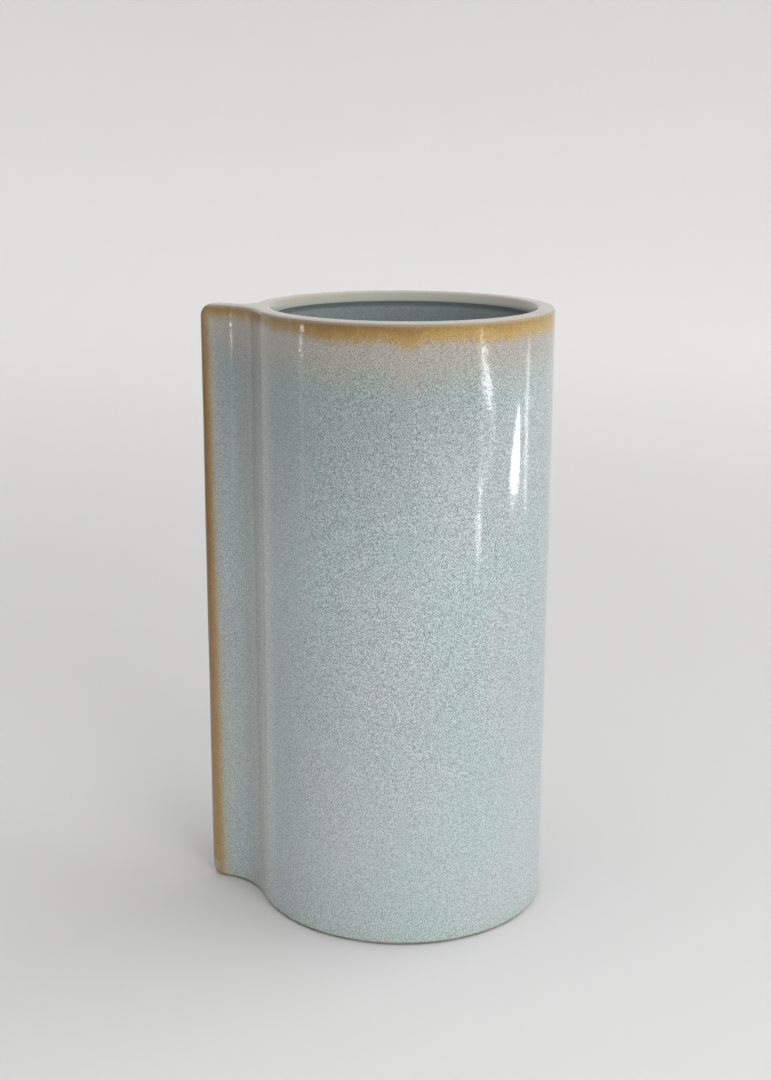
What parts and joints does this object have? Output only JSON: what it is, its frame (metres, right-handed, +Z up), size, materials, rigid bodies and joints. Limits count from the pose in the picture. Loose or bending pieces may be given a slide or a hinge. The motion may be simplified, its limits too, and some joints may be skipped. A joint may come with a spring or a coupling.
{
  "type": "brush holder pot",
  "caption": "Tall cylindrical stoneware pot, open at the top, whose wall bends out into a vertical fin along its full height.",
  "frame": {"origin": "on the pot's axis, in the flat underside that it stands on", "axes": "+Z up along the pot's axis; the fin points along -X, and the hollow bend between fin and wall faces -Y"},
  "size_m": [0.1142, 0.097, 0.2],
  "materials": {
    "bare_stoneware": "matt, unglazed",
    "aqua_glaze": "glossy, speckled, breaking to amber on edges",
    "liner_glaze": "glossy"
  },
  "bodies": {
    "root": {"wall_slab": "bare_stoneware", "base_slab": "bare_stoneware", "wall_seam_coil": "bare_stoneware", "floor_seam_coil": "bare_stoneware", "outer_glaze": "aqua_glaze", "liner_glaze": "liner_glaze"}
  },
  "joints": []
}
